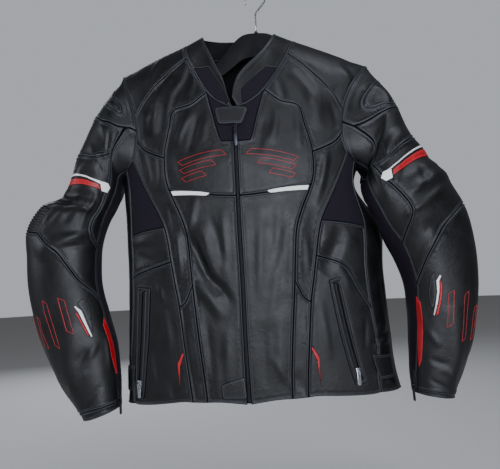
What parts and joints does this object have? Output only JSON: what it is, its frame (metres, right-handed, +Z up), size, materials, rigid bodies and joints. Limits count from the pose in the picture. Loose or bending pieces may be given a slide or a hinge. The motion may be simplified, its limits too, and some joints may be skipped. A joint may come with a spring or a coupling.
{
  "type": "motorcycle jacket on a clothes hanger",
  "caption": "Zipped leather motorcycle jacket hanging open-necked on a broad hanger with a wire hook, arms bent, zip pulls free to swing.",
  "frame": {"origin": "where the hook's bend bears on the rail that it hangs from", "axes": "+X to the viewer's right, which is the wearer's left; +Y to the back; +Z up"},
  "size_m": [0.8395, 0.1797, 0.8123],
  "materials": {
    "leather": "smooth full-grain, soft sheen",
    "textile": "matte stretch weave",
    "white_leather": "smooth",
    "red_leather": "smooth",
    "zip": "matte",
    "pull_metal": "dark satin",
    "hanger_plastic": "satin",
    "hook_steel": "bright wire"
  },
  "bodies": {
    "jacket": {"back": "leather", "back_yoke": "leather", "chest_l": "leather", "chest_r": "leather", "chest_strip_l": "white_leather", "chest_strip_r": "white_leather", "chevron_l": "red_leather", "chevron_r": "red_leather", "collar": "leather", "collar_inset_l": "textile", "collar_inset_r": "textile", "collar_tab": "leather", "cuff_zip_l": "zip", "cuff_zip_r": "zip", "dart_l": "leather", "dart_r": "leather", "elbow_ribs_l": "leather", "elbow_ribs_r": "leather", "flank_l": "leather", "flank_r": "leather", "forearm_l": "leather", "forearm_r": "leather", "front_l": "leather", "front_r": "leather", "front_zip": "zip", "hanger": "hanger_plastic", "hem_tab": "leather", "hook": "hook_steel", "neck_inset_l": "textile", "neck_inset_r": "textile", "pocket_panel_l": "leather", "pocket_panel_r": "leather", "pocket_welt_l": "leather", "pocket_welt_r": "leather", "pocket_zip_l": "zip", "pocket_zip_r": "zip", "shoulder_l": "leather", "shoulder_r": "leather", "side_front_l": "leather", "side_front_r": "leather", "side_strap_l": "leather", "side_strap_r": "leather", "sleeve_cap_l": "leather", "sleeve_cap_r": "leather", "sleeve_stretch_l": "textile", "sleeve_stretch_r": "textile", "sleeve_under_l": "leather", "sleeve_under_r": "leather", "sleeve_upper_l": "leather", "sleeve_upper_r": "leather", "stretch_side_l": "textile", "stretch_side_r": "textile", "yoke_l": "leather", "yoke_r": "leather"},
    "front_pull_body": {"front_pull": "pull_metal"},
    "pocket_pull_r_body": {"pocket_pull_r": "pull_metal"},
    "pocket_pull_l_body": {"pocket_pull_l": "pull_metal"},
    "cuff_pull_r_body": {"cuff_pull_r": "pull_metal"},
    "cuff_pull_l_body": {"cuff_pull_l": "pull_metal"}
  },
  "joints": [
    {"name": "front_pull_swing", "type": "hinge", "parent": "jacket", "child": "front_pull_body", "pos_m": [-0.04785, -0.08971, -0.29152], "axis": [-1, 0, 0], "range_deg": [0, 150]},
    {"name": "pocket_pull_r_swing", "type": "hinge", "parent": "jacket", "child": "pocket_pull_r_body", "pos_m": [-0.24128, -0.05339, -0.74447], "axis": [-0.8959, 0.4442, 0], "range_deg": [0, 150]},
    {"name": "pocket_pull_l_swing", "type": "hinge", "parent": "jacket", "child": "pocket_pull_l_body", "pos_m": [0.1534, -0.06001, -0.73836], "axis": [-0.9629, -0.2698, 0], "range_deg": [0, 150]},
    {"name": "cuff_pull_r_swing", "type": "hinge", "parent": "jacket", "child": "cuff_pull_r_body", "pos_m": [-0.2784, -0.0395, -0.77621], "axis": [-0.3007, -0.9537, 0], "range_deg": [0, 150]},
    {"name": "cuff_pull_l_swing", "type": "hinge", "parent": "jacket", "child": "cuff_pull_l_body", "pos_m": [0.25398, -0.03963, -0.7763], "axis": [-0.3006, 0.9537, 0], "range_deg": [0, 150]}
  ]
}
